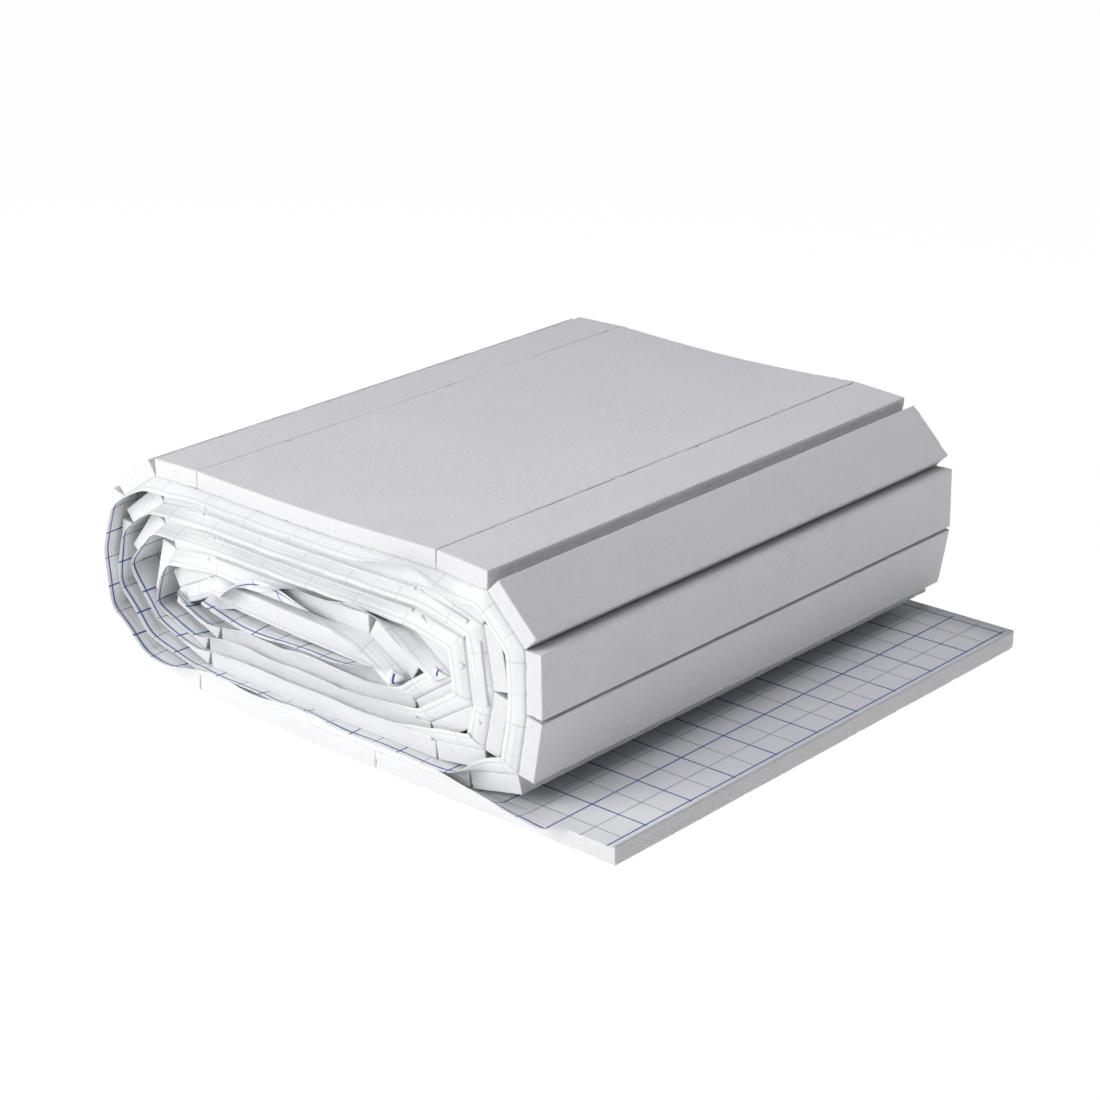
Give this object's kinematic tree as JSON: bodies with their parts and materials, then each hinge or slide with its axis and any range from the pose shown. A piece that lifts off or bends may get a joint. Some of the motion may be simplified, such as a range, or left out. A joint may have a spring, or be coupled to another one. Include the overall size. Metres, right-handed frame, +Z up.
{
  "type": "underfloor heating tacker board",
  "caption": "Roll of slit foam insulation board on a grid-printed film, wound flat on its own loose tail, for stapling underfloor heating pipe.",
  "frame": {"origin": "on the floor, under the middle of the whole object's box", "axes": "+X along the winding towards the loose tail's end, +Y across the board's width away from the overlapping film edge, +Z up"},
  "size_m": [1.09, 1.03, 0.3896],
  "materials": {
    "foam": "white expanded polystyrene, fine bead texture, cut faces",
    "film": "white woven-reinforced film, satin, with a blue 50 mm grid print on its inner face"
  },
  "bodies": {
    "root": {"tail_end_panel": "foam", "tail_panel": "foam", "left_bend_1_strip_1": "foam", "left_bend_1_strip_2": "foam", "left_bend_1_strip_3": "foam", "left_bend_1_strip_4": "foam", "left_bend_1_strip_5": "foam", "left_bend_1_strip_6": "foam", "top_panel_1": "foam", "right_bend_1_strip_1": "foam", "right_bend_1_strip_2": "foam", "right_bend_1_strip_3": "foam", "right_bend_1_strip_4": "foam", "right_bend_1_strip_5": "foam", "bottom_panel_1": "foam", "left_bend_2_strip_1": "foam", "left_bend_2_strip_2": "foam", "left_bend_2_strip_3": "foam", "left_bend_2_strip_4": "foam", "left_bend_2_strip_5": "foam", "top_panel_2": "foam", "right_bend_2_strip_1": "foam", "right_bend_2_strip_2": "foam", "right_bend_2_strip_3": "foam", "right_bend_2_strip_4": "foam", "bottom_panel_2": "foam", "left_bend_3_strip_1": "foam", "left_bend_3_strip_2": "foam", "left_bend_3_strip_3": "foam", "left_bend_3_strip_4": "foam", "top_panel_3": "foam", "right_bend_3_strip_1": "foam", "right_bend_3_strip_2": "foam", "right_bend_3_strip_3": "foam", "bottom_panel_3": "foam", "left_bend_4_strip_1": "foam", "left_bend_4_strip_2": "foam", "left_bend_4_strip_3": "foam", "top_panel_4": "foam", "right_bend_4_strip_1": "foam", "right_bend_4_strip_2": "foam", "bottom_panel_4": "foam", "left_bend_5_strip_1": "foam", "left_bend_5_strip_2": "foam", "top_panel_5": "foam", "right_bend_5_strip_1": "foam", "bottom_panel_5": "foam", "left_bend_6_strip_1": "foam", "inner_end_panel": "foam", "film": "film"}
  },
  "joints": []
}
